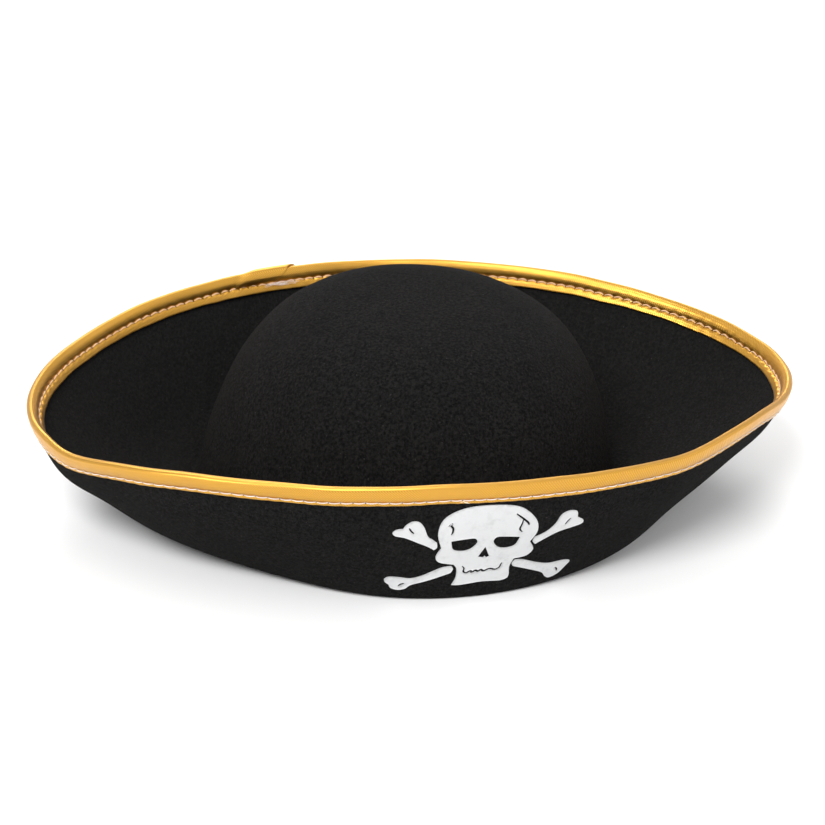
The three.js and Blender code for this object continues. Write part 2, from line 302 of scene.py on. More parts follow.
def settled(p):
    """The same gentle unevenness for every layer of the hat, so that none cuts through another."""
    moved = p.copy()
    off_table = point(1, 1, smooth(p[..., 2], 0, 14))
    for centre, spread, push in DENTS:
        weight = np.exp(-(((p - centre) / spread) ** 2).sum(-1))
        moved += weight[..., None] * off_table * push
    free = smooth(p[..., 2], 1, 30)
    outer = smooth(np.hypot(p[..., 0] / 120, p[..., 1] / 105), 0.5, 1.1)
    for axis in range(3):
        size = 0.35 * outer * waves(p, 90, 20 + axis) + 0.12 * waves(p, 34, 30 + axis)
        moved[..., axis] += free * size
    return moved


def arc_table():
    """Angles round the brim's edge, and the distance to each along the edge from the splice."""
    angles = np.linspace(SPLICE_ANGLE - 0.2, SPLICE_ANGLE + TURN + 0.4, 20001)
    gaps = np.linalg.norm(np.diff(rim(angles), axis=0), axis=-1)
    along = np.concatenate([[0], np.cumsum(gaps)])
    return angles, along - np.interp(SPLICE_ANGLE, angles, along)


ARC_ANGLES, ARC_ALONG = arc_table()
RIM_LENGTH = np.interp(SPLICE_ANGLE + TURN, ARC_ANGLES, ARC_ALONG)
STITCHES = round(RIM_LENGTH / STITCH_PITCH)
PITCH = RIM_LENGTH / STITCHES


def angle_at(along):
    """The angle at a distance along the brim's edge from the splice."""
    return np.interp(along, ARC_ALONG, ARC_ANGLES)


# ------------ building meshes

def signed_volume(points, faces):
    """Volume inside lists of faces, negative where they point inwards."""
    total = 0.0
    for face in faces:
        for k in range(1, face.shape[1] - 1):
            a, b, c = points[face[:, 0]], points[face[:, k]], points[face[:, k + 1]]
            total += np.einsum("ij,ij->i", a, np.cross(b, c)).sum()
    return total / 6


def new_piece(name, points, faces, material, replaces=(), body="hat", lay=None):
    """A piece of the hat from points in mm and lists of faces, which are turned to point outwards.
    lay gives each point's place in the flat cloth, for the weave."""
    points = points.reshape(-1, 3)
    if signed_volume(points, faces) < 0:
        faces = [face[:, ::-1] for face in faces]
    mesh = bpy.data.meshes.new(name)
    mesh.from_pydata((points * MM).tolist(), [], [corner for face in faces for corner in face.tolist()])
    mesh.polygons.foreach_set("use_smooth", np.ones(len(mesh.polygons), bool))
    if lay is not None:
        layer = mesh.attributes.new("lay", "FLOAT_VECTOR", "POINT")
        layer.data.foreach_set("vector", (lay.reshape(-1, 3) * MM).astype(np.float32).ravel())
    mesh.update()
    piece = bpy.data.objects.new(name, mesh)
    bpy.context.scene.collection.objects.link(piece)
    mesh.materials.append(material)
    if body:
        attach(piece, body)
    if replaces:
        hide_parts(*replaces)
    return piece


def grid(rows, columns, wrap_rows=False, wrap_columns=False, start=0):
    """Four-sided faces between the points of a grid."""
    i = np.arange(rows if wrap_rows else rows - 1)[:, None]
    j = np.arange(columns if wrap_columns else columns - 1)[None, :]
    here, across = i * columns, (i + 1) % rows * columns
    j, k = j + 0 * i, (j + 1) % columns + 0 * i
    return start + np.stack([here + j, across + j, across + k, here + k], axis=-1).reshape(-1, 4)


def strands(paths, radius, side_of, sides=5):
    """Closed round strands along paths of shape (strands, steps, 3). side_of is a direction that no path
    runs along; radius is one number or an array that fits (strands, steps)."""
    count, steps = paths.shape[:2]
    along = unit(np.gradient(paths, axis=1))
    side = unit(np.cross(along, side_of))
    up = np.cross(side, along)
    turn = (np.arange(sides) * TURN / sides)[:, None]
    radius = np.broadcast_to(radius, (count, steps))[..., None, None]
    ring = np.cos(turn) * side[:, :, None] + np.sin(turn) * up[:, :, None]
    points = paths[:, :, None] + radius * ring
    tube = grid(steps, sides, wrap_columns=True)
    caps = np.stack([np.arange(sides)[::-1], (steps - 1) * sides + np.arange(sides)])
    shift = (np.arange(count) * steps * sides)[:, None, None]
    faces = [(part + shift).reshape(-1, part.shape[1]) for part in (tube, caps)]
    return points.reshape(-1, 3), faces


def ribbon(outer, inner):
    """A closed strip between two skins, each of shape (columns, across, 3), capped at its two ends."""
    columns, across = outer.shape[:2]
    points = np.concatenate([outer, inner[:, ::-1]], axis=1)
    k = np.arange(across - 1)
    end = np.stack([k, k + 1, 2 * across - 2 - k, 2 * across - 1 - k], axis=-1)
    skins = grid(columns, 2 * across, wrap_columns=True)
    return points, [skins, end, end[:, ::-1] + (columns - 1) * 2 * across]


# ------------ materials

class Shader:
    """A Principled material, with short calls that add and join nodes."""

    def __init__(self, name, **values):
        self.material = bpy.data.materials.new(name)
        self.material.use_nodes = True
        self.tree = self.material.node_tree
        self.surface = self.tree.nodes["Principled BSDF"]
        for socket, value in values.items():
            self.surface.inputs[socket.replace("_", " ")].default_value = value

    def node(self, kind, inputs=(), **settings):
        made = self.tree.nodes.new("ShaderNode" + kind)
        for key, value in settings.items():
            setattr(made, key, value)
        for socket, value in dict(inputs).items():
            self.feed(made.inputs[socket], value)
        return made

    def feed(self, socket, value):
        if isinstance(value, bpy.types.NodeSocket):
            self.tree.links.new(value, socket)
        else:
            socket.default_value = value

    def math(self, operation, a, b=0.0):
        return self.node("Math", {0: a, 1: b}, operation=operation).outputs[0]

    def times(self, a, b):
        return self.math("MULTIPLY", a, b)

    def plus(self, a, b):
        return self.math("ADD", a, b)

    def part(self, vector, axis):
        return self.node("SeparateXYZ", {0: vector}).outputs[axis]

    def place(self):
        return self.node("TexCoord").outputs["Object"]

    def lay(self):
        return self.node("Attribute", attribute_name="lay").outputs["Vector"]

    def moved(self, vector, scale=(1, 1, 1), rotation=(0, 0, 0)):
        inputs = {"Vector": vector, "Scale": scale, "Rotation": rotation}
        return self.node("Mapping", inputs).outputs[0]

    def noise(self, vector, scale, detail=2.0, roughness=0.5, distortion=0.0):
        inputs = {"Vector": vector, "Scale": scale, "Detail": detail, "Roughness": roughness,
                  "Distortion": distortion}
        return self.node("TexNoise", inputs).outputs["Fac"]

    def ramp(self, value, low, high, to_low=0.0, to_high=1.0):
        inputs = {"Value": value, "From Min": low, "From Max": high, "To Min": to_low, "To Max": to_high}
        return self.node("MapRange", inputs).outputs[0]

    def mix(self, share, a, b):
        made = self.node("Mix", data_type="RGBA")
        self.feed(made.inputs["Factor"], share)
        self.feed(made.inputs[6], a)
        self.feed(made.inputs[7], b)
        return made.outputs[2]

    def bump(self, height, distance):
        inputs = {"Height": height, "Distance": distance * MM, "Strength": 1.0}
        return self.node("Bump", inputs).outputs[0]

    def finish(self, **sockets):
        for socket, value in sockets.items():
            self.feed(self.surface.inputs[socket.replace("_", " ")], value)
        return self.material


def felt_fibres(s, place, scale, rotation):
    """Matted fibres that run one way, from stretched noise: near 1 on a fibre."""
    stretched = s.moved(place, (scale, scale, scale / 9), rotation)
    return s.ramp(s.noise(stretched, 1.0, 2.0, 0.6), 0.52, 0.68)


def felt_material():
    """Matted black fibres, mottled and cloudy; the brim's upper face is painted a little paler, painted light
    that lifts the shade in the brim's valley.
    """
    s = Shader("black_felt", Roughness=0.95, Specular_IOR_Level=0.03, Sheen_Weight=0.012,
               Sheen_Roughness=0.5, Sheen_Tint=(0.85, 0.8, 0.75, 1))
    place = s.place()
    matted = 0.0
    for scale, rotation in ((1500, (0.3, 1.2, 0.4)), (1300, (1.5, 0.2, 1.1)), (1700, (0.9, 0.7, 2.3))):
        matted = s.math("MAXIMUM", matted, felt_fibres(s, place, scale, rotation))
    mottle = s.noise(place, 760, 4.0, 0.75)
    cloud = s.noise(place, 60, 3.0, 0.6)
    tone = s.plus(s.ramp(mottle, 0.40, 0.62, 0.0, 0.8), s.times(matted, 0.25))
    tone = s.times(tone, s.ramp(cloud, 0.3, 0.7, 0.88, 1.15))
    colour = s.mix(tone, (0.0030, 0.0030, 0.0031, 1), (0.0160, 0.0154, 0.0150, 1))
    crowns = s.moved(place, (1 / (CROWN_HALF_WIDTH * MM), 1 / (CROWN_HALF_DEPTH * MM), 0))
    out = s.node("VectorMath", {0: crowns}, operation="LENGTH").outputs["Value"]
    faces_up = s.part(s.node("NewGeometry").outputs["Normal"], 2)
    # Painted light: the brim's upper face, outside the crown, is painted paler to lift the shade that falls
    # in its valley.
    painted_brim_light = s.times(s.ramp(out, 1.06, 1.2), s.ramp(faces_up, -0.05, 0.05))
    colour = s.mix(s.times(painted_brim_light, 0.15), colour, (0.038, 0.037, 0.036, 1))
    speck = s.ramp(s.noise(place, 1150, 0.0), 0.80, 0.86)
    colour = s.mix(s.times(speck, 0.4), colour, (0.07, 0.068, 0.065, 1))
    return s.finish(Base_Color=colour, Normal=s.bump(s.plus(matted, s.times(mottle, 3.0)), 0.22))


def tape_material():
    """Plain weave of flat metal-coated strips, cut on the bias, so both sets run at 45 degrees."""
    s = Shader("gold_lame", Metallic=1.0, Sheen_Weight=0.12, Sheen_Roughness=0.3,
               Sheen_Tint=(1.0, 0.78, 0.70, 1))
    lay = s.lay()
    turned = s.moved(lay, rotation=(0, 0, math.radians(45)))
    warp, weft = (s.times(s.part(turned, axis), 1 / (WEAVE_PITCH * MM)) for axis in (0, 1))
    over = s.math("PINGPONG", s.plus(s.math("FLOOR", warp), s.math("FLOOR", weft)), 1.0)
    hills = {"Factor": over, 2: s.math("PINGPONG", warp, 0.5), 3: s.math("PINGPONG", weft, 0.5)}
    rounded = s.node("Mix", hills, data_type="FLOAT").outputs[0]
    plain = s.math("POWER", s.times(rounded, 2.0), 0.6)
    rib = s.math("POWER", s.times(s.math("PINGPONG", warp, 0.5), 2.0), 0.8)
    strip = s.plus(s.times(plain, 0.4), s.times(rib, 0.6))
    wear = s.noise(lay, 160, 4.0, 0.65)
    colour = s.mix(over, (0.70, 0.375, 0.064, 1), (0.67, 0.35, 0.056, 1))
    colour = s.mix(s.ramp(wear, 0.45, 0.75, 0.0, 0.20), colour, (0.62, 0.32, 0.10, 1))
    colour = s.mix(s.ramp(strip, 0.0, 0.55, 0.6, 0.0), colour, (0.20, 0.08, 0.012, 1))
    step = s.math("PINGPONG", s.part(lay, 0), PITCH * MM / 2)
    off_line = s.math("SUBTRACT", s.math("ABSOLUTE", s.part(lay, 1)), s.part(lay, 2))
    away = s.math("SQRT", s.plus(s.math("POWER", step, 2.0), s.math("POWER", off_line, 2.0)))
    hole = s.ramp(away, 0.25 * MM, 0.5 * MM, 1.0, 0.0)
    colour = s.mix(s.times(hole, 0.9), colour, (0.02, 0.012, 0.006, 1))
    height = s.math("SUBTRACT", strip, s.times(hole, 2.0))
    rough = s.ramp(wear, 0.3, 0.7, 0.28, 0.36)
    return s.finish(Base_Color=colour, Roughness=rough, Normal=s.bump(height, 0.1))


def thread_material(name, colour, shade):
    s = Shader(name, Roughness=0.55, Specular_IOR_Level=0.45, Sheen_Weight=0.3, Sheen_Roughness=0.4)
    place = s.place()
    fine = s.noise(place, 5200, 2.0, 0.6)
    patchy = s.noise(place, 300, 2.0, 0.6)
    tint = s.mix(s.ramp(patchy, 0.35, 0.7), colour, shade)
    return s.finish(Base_Color=tint, Normal=s.bump(fine, 0.03))


def film_material():
    s = Shader("white_transfer", Specular_IOR_Level=0.4, Coat_Weight=0.12, Coat_Roughness=0.35)
    place = s.place()
    scuff = s.noise(place, 260, 6.0, 0.75, 0.6)
    broad = s.noise(place, 55, 3.0, 0.6)
    crackle = s.node("TexVoronoi", {"Vector": place, "Scale": 620.0}, feature="DISTANCE_TO_EDGE")
    line = s.ramp(crackle.outputs["Distance"], 0.0, 0.05, 1.0, 0.0)
    grey = s.times(s.ramp(scuff, 0.50, 0.70), s.ramp(broad, 0.38, 0.58))
    colour = s.mix(s.times(grey, 0.55), (0.60, 0.605, 0.61, 1), (0.38, 0.385, 0.39, 1))
    colour = s.mix(s.times(line, 0.08), colour, (0.4, 0.41, 0.44, 1))
    rough = s.ramp(scuff, 0.3, 0.8, 0.34, 0.55)
    grain = s.noise(place, 1400, 3.0, 0.6)
    height = s.plus(s.times(grain, 0.5), s.times(line, -0.3))
    return s.finish(Base_Color=colour, Roughness=rough, Normal=s.bump(height, 0.05))


def ribbon_material():
    s = Shader("black_grosgrain", Roughness=0.62, Specular_IOR_Level=0.35, Sheen_Weight=0.35,
               Sheen_Roughness=0.35)
    lay = s.lay()
    twist = s.noise(s.moved(lay, (900, 4200, 1)), 1.0, 2.0, 0.6)
    broad = s.noise(lay, 70, 3.0, 0.6)
    tone = s.times(s.ramp(twist, 0.3, 0.7, 0.5, 1.0), s.ramp(broad, 0.3, 0.7, 0.7, 1.0))
    colour = s.mix(tone, (0.006, 0.006, 0.0065, 1), (0.022, 0.022, 0.0235, 1))
    return s.finish(Base_Color=colour, Normal=s.bump(twist, 0.06))


def satin_material():
    s = Shader("white_satin", Roughness=0.42, Specular_IOR_Level=0.5, Sheen_Weight=0.2, Sheen_Roughness=0.3)
    lay = s.lay()
    floats = s.noise(s.moved(lay, (5200, 420, 1)), 1.0, 2.0, 0.6)
    broad = s.noise(lay, 60, 3.0, 0.55)
    colour = s.mix(s.ramp(broad, 0.3, 0.7), (0.80, 0.80, 0.78, 1), (0.70, 0.69, 0.66, 1))
    return s.finish(Base_Color=colour, Normal=s.bump(floats, 0.05))


def fibre_material(name, colour, other):
    s = Shader(name, Roughness=0.6, Specular_IOR_Level=0.4)
    tint = s.mix(s.ramp(s.noise(s.place(), 90, 1.0), 0.4, 0.6), colour, other)
    return s.finish(Base_Color=tint)


# ------------ felt body

def crease(angle, upper, outside):
    """Soft inside corner between the brim's upper face and the crown."""
    t = np.linspace(0, 1, 9)[1:-1][None, :, None]
    valley = crown(angle, FELT)[:, None]
    return (1 - t) ** 2 * upper[:, None] + 2 * t * (1 - t) * valley + t**2 * outside[:, None]


def felt_sections():
    """Points of every section, from the top inside to the top outside, and where its outside starts."""
    angle = np.arange(FELT_STEPS) * TURN / FELT_STEPS
    column = angle[:, None]
    inside = crown(column, crown_heights(LIP, FELT, 34)[::-1][None], FELT)
    lip = np.stack([crown(angle, LIP * 0.3, FELT - LIP * 0.3), crown(angle, 0.0, FELT - LIP)], axis=1)
    lower = brim(column, np.linspace(0, 1, 44)[None] ** 0.9)
    edge = near_rim(column, np.array([[-0.35, -0.5, -0.35]]), np.array([[-0.3, -FELT / 2, 0.3 - FELT]]))
    run = np.linalg.norm((rim(angle) - foot(angle))[:, :2], axis=-1)
    first = (CREASE_REACH / (2 * flare(angle) * run))[:, None]
    reach = 1 - (1 - first) * np.linspace(0, 1, 36)[None]
    upper = off_brim(column + 0 * reach, reach, -FELT + 0 * reach)
    outside = crown(column, crown_heights(FELT + CREASE_HEIGHT, 0, 40)[None])
    corner = crease(angle, upper[:, -1], outside[:, 0])
    outer_start = inside.shape[1] + lip.shape[1]
    return np.concatenate([inside, lip, lower, edge, upper, corner, outside], axis=1), outer_start


def felt_body():
    sections, outer_start = felt_sections()
    columns, across = sections.shape[:2]
    poles = np.array([[0, CROWN_SETBACK, CROWN_HEIGHT - FELT], [0, CROWN_SETBACK, CROWN_HEIGHT]])
    points = settled(np.concatenate([sections.reshape(-1, 3), poles]))
    here = np.arange(columns) * across
    after = np.roll(here, -1)
    pole = np.full(columns, columns * across)
    inner_fan = np.stack([here, pole, after], axis=-1)
    outer_fan = np.stack([here + across - 1, after + across - 1, pole + 1], axis=-1)
    walls = grid(columns, across, wrap_rows=True)
    piece = new_piece("felt_hat_body", points, [walls, inner_fan, outer_fan], felt_material(),
                      ["felt_body"])
    return points[:-2].reshape(columns, across, 3), outer_start


def covered(p):
    """True where a point of the felt lies under the binding or the emblem."""
    angle = np.arctan2((p[:, 1] - CROWN_SETBACK) / CROWN_HALF_DEPTH, p[:, 0] / CROWN_HALF_WIDTH)
    under_tape = p[:, 2] > np.interp(np.cos(angle), [-1, -0.6, 0.6, 1], [39, 47, 49, 43])
    on_brim = np.hypot(p[:, 0] / RIM_HALF_WIDTH, p[:, 1] / RIM_HALF_DEPTH) > 0.86
    under_emblem = (np.abs(p[:, 0]) < 44) & (p[:, 1] < -88)
    return (under_tape & on_brim) | under_emblem


def loose_fibres(sections, outer_start, name, count, length, radius, lean, material, seed, steps=4):
    """Short fibres on the felt's outer faces, that stand up by angles within lean."""
    draw = np.random.default_rng(seed)
    columns, across = sections.shape[:2]
    i = draw.integers(0, columns, 4 * count)
    j = draw.integers(outer_start, across - 2, 4 * count)
    a, b, c = sections[i, j], sections[(i + 1) % columns, j], sections[i, j + 1]
    cross = np.cross(b - a, c - a)
    area = np.linalg.norm(cross, axis=-1)
    keep = (draw.uniform(0, 1, len(area)) < area / np.quantile(area, 0.98)) & ~covered(a) & (a[:, 2] > 0.4)
    keep = np.flatnonzero(keep)[:count]
    share = draw.uniform(0, 1, (len(keep), 2, 1))
    root = a[keep] + share[:, 0] * (b - a)[keep] + share[:, 1] * (c - a)[keep]
    normal = -unit(cross[keep])
    flat = unit(np.cross(normal, draw.normal(size=normal.shape)))
    aside = np.cross(normal, flat)
    long = length * draw.uniform(0.5, 1.5, (len(keep), 1))
    rise = draw.uniform(*lean, (len(keep), 1))
    curl = draw.uniform(-0.8, 0.8, (len(keep), 1))
    t = np.linspace(0, 1, steps)[None, :, None]
    along = long * (flat * np.cos(rise) + normal * np.sin(rise))
    bent = long * curl * (aside * 0.6 + normal * 0.25 * (rise - 0.3))
    paths = (root + normal * 0.03)[:, None] + along[:, None] * t + bent[:, None] * t**2
    paths[..., 2] = np.maximum(paths[..., 2], 0.1)
    taper = radius * (1 - 0.55 * t[..., 0])
    points, faces = strands(paths, taper, aside[:, None], sides=3)
    new_piece(name, points, faces, material)


# ------------ binding tape

def splice_lift(along):
    """How far the tape's first end is raised where it lies over its last end."""
    return SPLICE_STEP * (1 - smooth(along, SPLICE_RAISED, SPLICE_RAISED + SPLICE_RAMP))


def tape_relief(along, drop, side):
    """Height of the tape's outer skin over its flat state: puffed above the stitches, pinched at them, and
    standing off again below. The inner leg (side -1) is longer and stands off more, in scallops."""
    line = STITCH_DROP
    between = 0.5 - 0.5 * np.cos(TURN * along / PITCH)  # 0 at a stitch's end, 1 halfway along it
    above = np.clip(drop / line, 0, 1)
    if side > 0:
        puff = 0.45 * np.sin(np.pi * above) ** 0.9
        groove = -(0.34 - 0.14 * between) * hump(drop, line, 0.6)
        hem = (0.30 + 0.14 * between) * hump(drop, line + 1.0, 0.7)
    else:
        puff = (0.75 + 0.1 * np.sin(TURN * along / 83)) * np.sin(np.pi * above**0.75) ** 0.9
        groove = -(0.45 - 0.40 * between) * hump(drop, line - 0.2, 0.6)
        scallop = line - 0.2 - SCALLOP * between
        hem = 0.7 * smooth(drop, scallop, scallop + 1.3) + 0.3 * smooth(drop, line, INNER_LEG)
    pull = 0.05 * np.sin(TURN * (along / (1.5 * PITCH) + drop / 9)) * smooth(drop, 0, 3)
    creases = 0.07 * np.cos(TURN * (along - 0.35 * (line - drop)) / PITCH) * hump(drop, line - 1.5, 1.5)
    return puff + groove + hem + pull + creases


def leg_end(along, side):
    """How far down each leg reaches; its cut edge is a little wavy, and toothed by the weave."""
    teeth = np.abs((along / (2 * WEAVE_PITCH * math.sqrt(2))) % 1 - 0.5) - 0.25
    slow = np.sin(TURN * along / 61 + side) + 0.7 * np.sin(TURN * along / 23 + 2 * side)
    if side > 0:
        return OUTER_LEG + 0.12 * slow + 0.10 * teeth
    return INNER_LEG + 0.14 * slow + 0.4 * teeth


# Where the tape's rows lie down a leg, as shares of its length: closest together by the stitches.
LEG_SHARES = np.array([1.0, 0.94, 0.87, 0.81, 0.74, 0.68, 0.62, 0.58, 0.54, 0.44, 0.30, 0.14])


def tape_skin(along, radius, relief):
    """Drop, lift and distance across the tape for every point of a skin, from outer edge to inner edge."""
    column = along[:, None]
    outer = leg_end(column, 1) * LEG_SHARES
    inner = leg_end(column, -1) * LEG_SHARES[::-1]
    turn = np.linspace(0, math.pi, FOLD_STEPS)[None] + 0 * column
    squeeze = 1 - 0.3 * np.sin(turn)
    outer_lift = radius + relief * tape_relief(column, outer, 1)
    inner_lift = -radius - relief * tape_relief(column, inner, -1)
    drop = np.concatenate([outer, -radius * np.sin(turn) * squeeze, inner], axis=1)
    lift = np.concatenate([outer_lift, radius * np.cos(turn), inner_lift], axis=1)
    arc = math.pi / 2 * radius
    across = np.concatenate([outer + arc, arc * np.cos(turn), -inner - arc], axis=1)
    return drop, lift - FELT / 2, across


def tape_surface(along, thick, relief):
    """Points of one skin of the tape in space, and their lay. At the splice the outer skin is raised by
    SPLICE_STEP, less towards the inner leg's edge, and the inner skin by TAPE, onto the end below it."""
    radius = FELT / 2 + TAPE_GAP + thick
    drop, lift, across = tape_skin(along, radius, relief)
    loose = relief * (1 - 0.8 * smooth(-across, 4, 9))
    raised = splice_lift(along)[:, None] * (TAPE + (SPLICE_STEP - TAPE) * loose) / SPLICE_STEP
    outward = unit(np.stack([lift + FELT / 2, -np.minimum(drop, 0)], axis=-1)) * raised[..., None]
    lift, drop = lift + outward[..., 0], drop - outward[..., 1]
    fade = 1 - smooth(along, *SPLICE_STRAIGHT)
    shifted = along[:, None] - across * SPLICE_SLANT * fade[:, None]
    p = settled(near_rim(angle_at(shifted), drop, lift))
    return p, point(shifted, across, STITCH_DROP + math.pi / 2 * radius)


def binding_tape():
    columns = round((RIM_LENGTH + SPLICE_UNDER) / TAPE_STEP)
    along = np.linspace(0, RIM_LENGTH + SPLICE_UNDER, columns)
    outer, lay = tape_surface(along, TAPE, 1.0)
    inner, inner_lay = tape_surface(along, 0.0, 0.0)
    points, faces = ribbon(outer, inner)
    both = np.concatenate([lay, inner_lay[:, ::-1]], axis=1)
    piece = new_piece("brim_binding", points, faces, tape_material(),
                      ["brim_binding_tape"], lay=both)


# ------------ stitches

def plies(paths_at, starts, lengths, turns, steps=15, radius=PLY_RADIUS):
    """Two twisted plies for each stitch. paths_at(along, height, aside) gives points in space."""
    q = np.linspace(0, 1, steps)[None]
    height = 0.62 * np.sin(np.pi * q) ** 0.55 - 0.42
    made = []
    for ply in (0, math.pi):
        phase = TURN * turns * q + ply + starts[:, None]
        along = starts[:, None] + lengths[:, None] * (0.03 + 0.94 * q)
        made.append(paths_at(along, height + radius * np.cos(phase), radius * np.sin(phase)))
    return strands(np.concatenate(made), radius * 1.06, (0, 0, 1), sides=6)


def rim_stitches(name, side, colour, shade, node):
    """The tape's stitches on the outside (side 1), or arched in the scallops on the inside (side -1)."""
    draw = np.random.default_rng(11 if side > 0 else 12)
    starts = np.arange(STITCHES) * PITCH + draw.normal(0, 0.10, STITCHES)
    lengths = np.append(np.diff(starts), PITCH)
    slant = 0.16 * side

    def paths_at(along, height, aside):
        step = along / PITCH % 1
        if side > 0:
            line, at = STITCH_DROP + 0 * along, PITCH / 2 + 0 * along
            clear, share = 0.30, 1.0
        else:
            line, at = STITCH_DROP - SCALLOP * np.sin(np.pi * step) ** 2 - 0.1, along
            clear, share = 0.12, 0.5
        drop = line + aside + slant * (0.5 - step) + 0.1 * np.sin(TURN * along / 47)
        lift = FELT / 2 + TAPE_GAP + TAPE + tape_relief(at, line, side) + clear + height
        lift = lift + share * splice_lift(along % RIM_LENGTH)
        return settled(near_rim(angle_at(along), drop, side * lift - FELT / 2))

    thickness = PLY_RADIUS if side > 0 else 1.5 * PLY_RADIUS
    points, faces = plies(paths_at, starts, lengths, 3.5, radius=thickness)
    new_piece(name, points, faces, thread_material(name, colour, shade), [node])


def frayed_end():
    """Pale yarn ends that came out of the cut at the splice and lie in the groove on the inside."""
    draw = np.random.default_rng(5)
    count = 16
    start = draw.uniform(8, 17, (count, 1))
    long = draw.uniform(4, 13, (count, 1))
    q = np.linspace(0, 1, 14)[None]
    along = start - long * q + 0.3 * np.sin(7 * q + start)
    drop = STITCH_DROP + draw.uniform(-0.6, 1.0, (count, 1)) + draw.uniform(-0.6, 0.6, (count, 1)) * q
    drop = drop + 0.25 * np.sin(9 * q + 3 * start)
    height = 0.25 + 0.35 * draw.uniform(0, 1, (count, 1)) * np.sin(np.pi * q)
    height = height + tape_relief(PITCH / 2, drop, -1)
    height = height + 0.5 * splice_lift(np.abs(along)) * smooth(along, -3, 1)
    paths = settled(near_rim(angle_at(along), drop, -FELT - TAPE_GAP - TAPE - height))
    points, faces = strands(paths, 0.075, (0.1, 0.1, 1.0), sides=5)
    material = thread_material("frayed_yarn", (0.86, 0.74, 0.66, 1), (0.70, 0.58, 0.50, 1))
    new_piece("frayed_tape_end", points, faces, material)


def thread_tail():
    """Loose ends of the needle thread where the seam was started again, left of the emblem's middle."""
    q = np.linspace(0, 1, 12)[None]
    start = np.interp(THREAD_TAIL_ANGLE, ARC_ANGLES, ARC_ALONG)
    along = start + np.array([[2.6], [1.9], [-1.1]]) * q
    drop = STITCH_DROP + 0.15 + np.array([[1.1], [0.7], [0.5]]) * q**1.5
    height = 0.35 + np.array([[0.7], [0.4], [0.25]]) * np.sin(np.pi * q**0.8)
    paths = settled(near_rim(angle_at(along), drop, height + TAPE_GAP + TAPE))
    points, faces = strands(paths, 0.12, (0.1, 0.1, 1.0), sides=6)
    material = thread_material("thread_tail", (0.88, 0.78, 0.60, 1), (0.80, 0.70, 0.55, 1))
    new_piece("needle_thread_tail", points, faces, material)


# ------------ emblem

def curve_through(points, steps=7):
    """A smooth curve through points, its ends included (Catmull-Rom)."""
    p = np.array(points, float)
    p = np.concatenate([p[:1], p, p[-1:]])
    t = np.linspace(0, 1, steps, endpoint=False)[:, None]
    made = []
    for a, b, c, d in zip(p[:-3], p[1:-2], p[2:-1], p[3:]):
        made.append(0.5 * (2 * b + (c - a) * t + (2 * a - 5 * b + 4 * c - d) * t**2
                           + (3 * b - a - 3 * c + d) * t**3))
    return np.concatenate(made + [p[-1:]])


def outline(start, *stretches):
    """A closed outline of smooth stretches that meet in corners."""
    made, last = [], start
    for stretch in stretches:
        made.append(curve_through([last, *stretch])[:-1])
        last = stretch[-1]
    return np.concatenate(made)


def slit(points, width):
    """A thin closed outline along a curve, pointed at both ends."""
    line = curve_through(points, 5)
    along = np.gradient(line, axis=0)
    across = unit(np.stack([-along[:, 1], along[:, 0]], axis=-1))
    t = np.linspace(0, 1, len(line))[:, None]
    half = width / 2 * np.sin(np.pi * np.clip(t, 0.04, 0.96)) ** 0.35
    return np.concatenate([line + across * half, (line - across * half)[::-1]])


def mirrored(shape):
    """The shape's mirror image, still run round the same way."""
    return (shape * (-1, 1))[::-1]


def skull_shapes():
    """The skull's outline, and the eyes, nose, mouth and cracks that are cut out of it."""
    skull = outline(
        (-19, 2.5),
        [(-20.6, -2.5), (-18.6, -6), (-12.2, -7.8)],
        [(-10.7, -10.4), (-10.4, -15.4), (-11.7, -19.6)],
        [(-8, -19.8), (1, -18.9), (9.5, -19.8)],
        [(12.8, -18.4), (12.4, -12), (13.6, -7.4)],
        [(19, -6.4), (21.3, -2.5), (19, 2.5)],
        [(21.2, 9), (19, 16.4), (11.5, 23.3), (0, 25.2), (-11.5, 24.2), (-19.5, 19.2), (-21.4, 11),
         (-19, 2.5)],
    )
    eye = outline((14.6, 6.2), [(8.7, 7.2), (4.7, 7.4), (3.5, 4.9), (5.8, 1.4), (9.6, 0.3), (13.2, 1.6),
                                (14.6, 6.2)])
    nose = np.array([(-0.1, 2.0), (-2.4, -3.8), (-0.2, -4.5), (0.4, -3.6), (1.2, -4.5), (2.4, -4.0)])
    mouth = slit([(-8.4, -9), (-7.4, -10.4), (-7.5, -12.1), (-6.2, -13.1), (-4.4, -12.1), (-3.7, -13),
                  (-2.4, -12), (-1.1, -12.7), (0, -11.9), (1.3, -12.8), (3.7, -11.8), (6.2, -12.7),
                  (7.9, -11.7), (8.4, -9.8), (8.7, -9)], 1.1)
    left_crack = slit([(-17.6, 14.7), (-16.2, 16.1), (-16.5, 15), (-15.5, 13.4), (-15.4, 11.1),
                       (-15.9, 9.9)], 0.95)
    right_crack = slit([(10.2, 19.9), (13.4, 17.1), (15.9, 14.6), (16.8, 12.9)], 0.95)
    branch = slit([(13.7, 16.6), (13.6, 14.2), (13.1, 11.6), (13.4, 10.4), (14.5, 9.1)], 0.85)
    middle = np.array([0.6, 0])
    return skull, [eye - middle, mirrored(eye) - middle, nose, mouth, left_crack, right_crack, branch]


